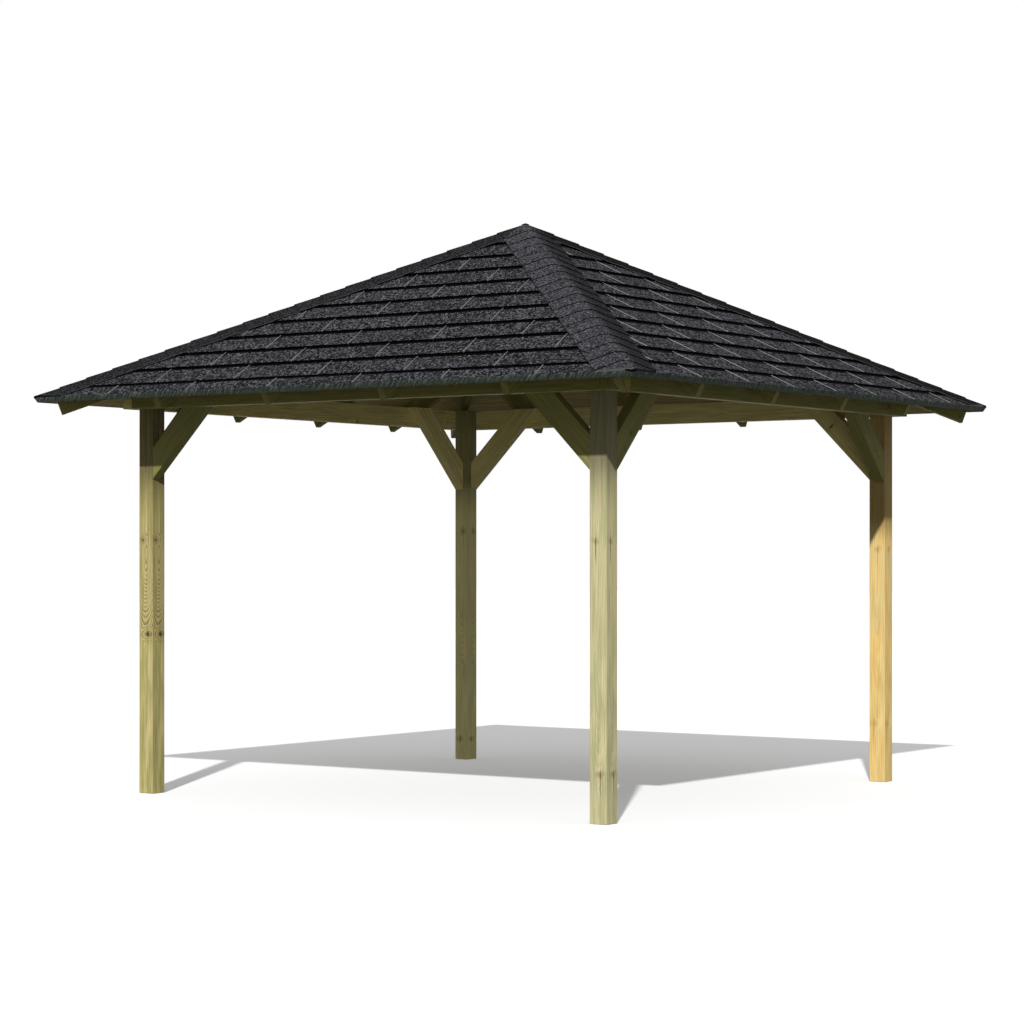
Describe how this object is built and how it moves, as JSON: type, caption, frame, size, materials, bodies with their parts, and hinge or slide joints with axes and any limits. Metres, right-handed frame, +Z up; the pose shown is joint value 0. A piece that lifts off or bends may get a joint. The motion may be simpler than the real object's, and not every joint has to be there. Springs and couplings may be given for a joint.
{
  "type": "garden gazebo",
  "caption": "Open square garden gazebo: timber posts with knee braces and ring beams carry a boarded pyramid roof on hip and jack rafters, covered with bitumen shingles.",
  "frame": {"origin": "on the ground, at the middle of the four posts", "axes": "+Z up; -Y towards the front; +X towards the right side, seen from the front"},
  "size_m": [3.548, 3.548, 2.9297],
  "materials": {
    "post_timber": "planed, green pressure-treated softwood",
    "frame_timber": "planed, green pressure-treated softwood",
    "deck_board": "planed softwood boards",
    "shingle": "charcoal mineral granules on bitumen felt",
    "edge_felt": "dark green mineral felt strip"
  },
  "bodies": {
    "root": {"post_front_left": "post_timber", "post_front_right": "post_timber", "post_back_right": "post_timber", "post_back_left": "post_timber", "beam_front": "frame_timber", "beam_right": "frame_timber", "beam_back": "frame_timber", "beam_left": "frame_timber", "brace_front_left": "frame_timber", "brace_front_right": "frame_timber", "brace_right_front": "frame_timber", "brace_right_back": "frame_timber", "brace_back_right": "frame_timber", "brace_back_left": "frame_timber", "brace_left_back": "frame_timber", "brace_left_front": "frame_timber", "hip_rafter_front_left": "frame_timber", "hip_rafter_front_right": "frame_timber", "hip_rafter_back_right": "frame_timber", "hip_rafter_back_left": "frame_timber", "long_jack_rafters_front": "frame_timber", "long_jack_rafters_right": "frame_timber", "long_jack_rafters_back": "frame_timber", "long_jack_rafters_left": "frame_timber", "short_jack_rafters_front": "frame_timber", "short_jack_rafters_right": "frame_timber", "short_jack_rafters_back": "frame_timber", "short_jack_rafters_left": "frame_timber", "deck_front": "deck_board", "deck_right": "deck_board", "deck_back": "deck_board", "deck_left": "deck_board", "shingles_front": "shingle", "shingles_right": "shingle", "shingles_back": "shingle", "shingles_left": "shingle", "edge_strip_front": "edge_felt", "edge_strip_right": "edge_felt", "edge_strip_back": "edge_felt", "edge_strip_left": "edge_felt", "hip_cap_front_left": "shingle", "hip_cap_front_right": "shingle", "hip_cap_back_right": "shingle", "hip_cap_back_left": "shingle"}
  },
  "joints": []
}
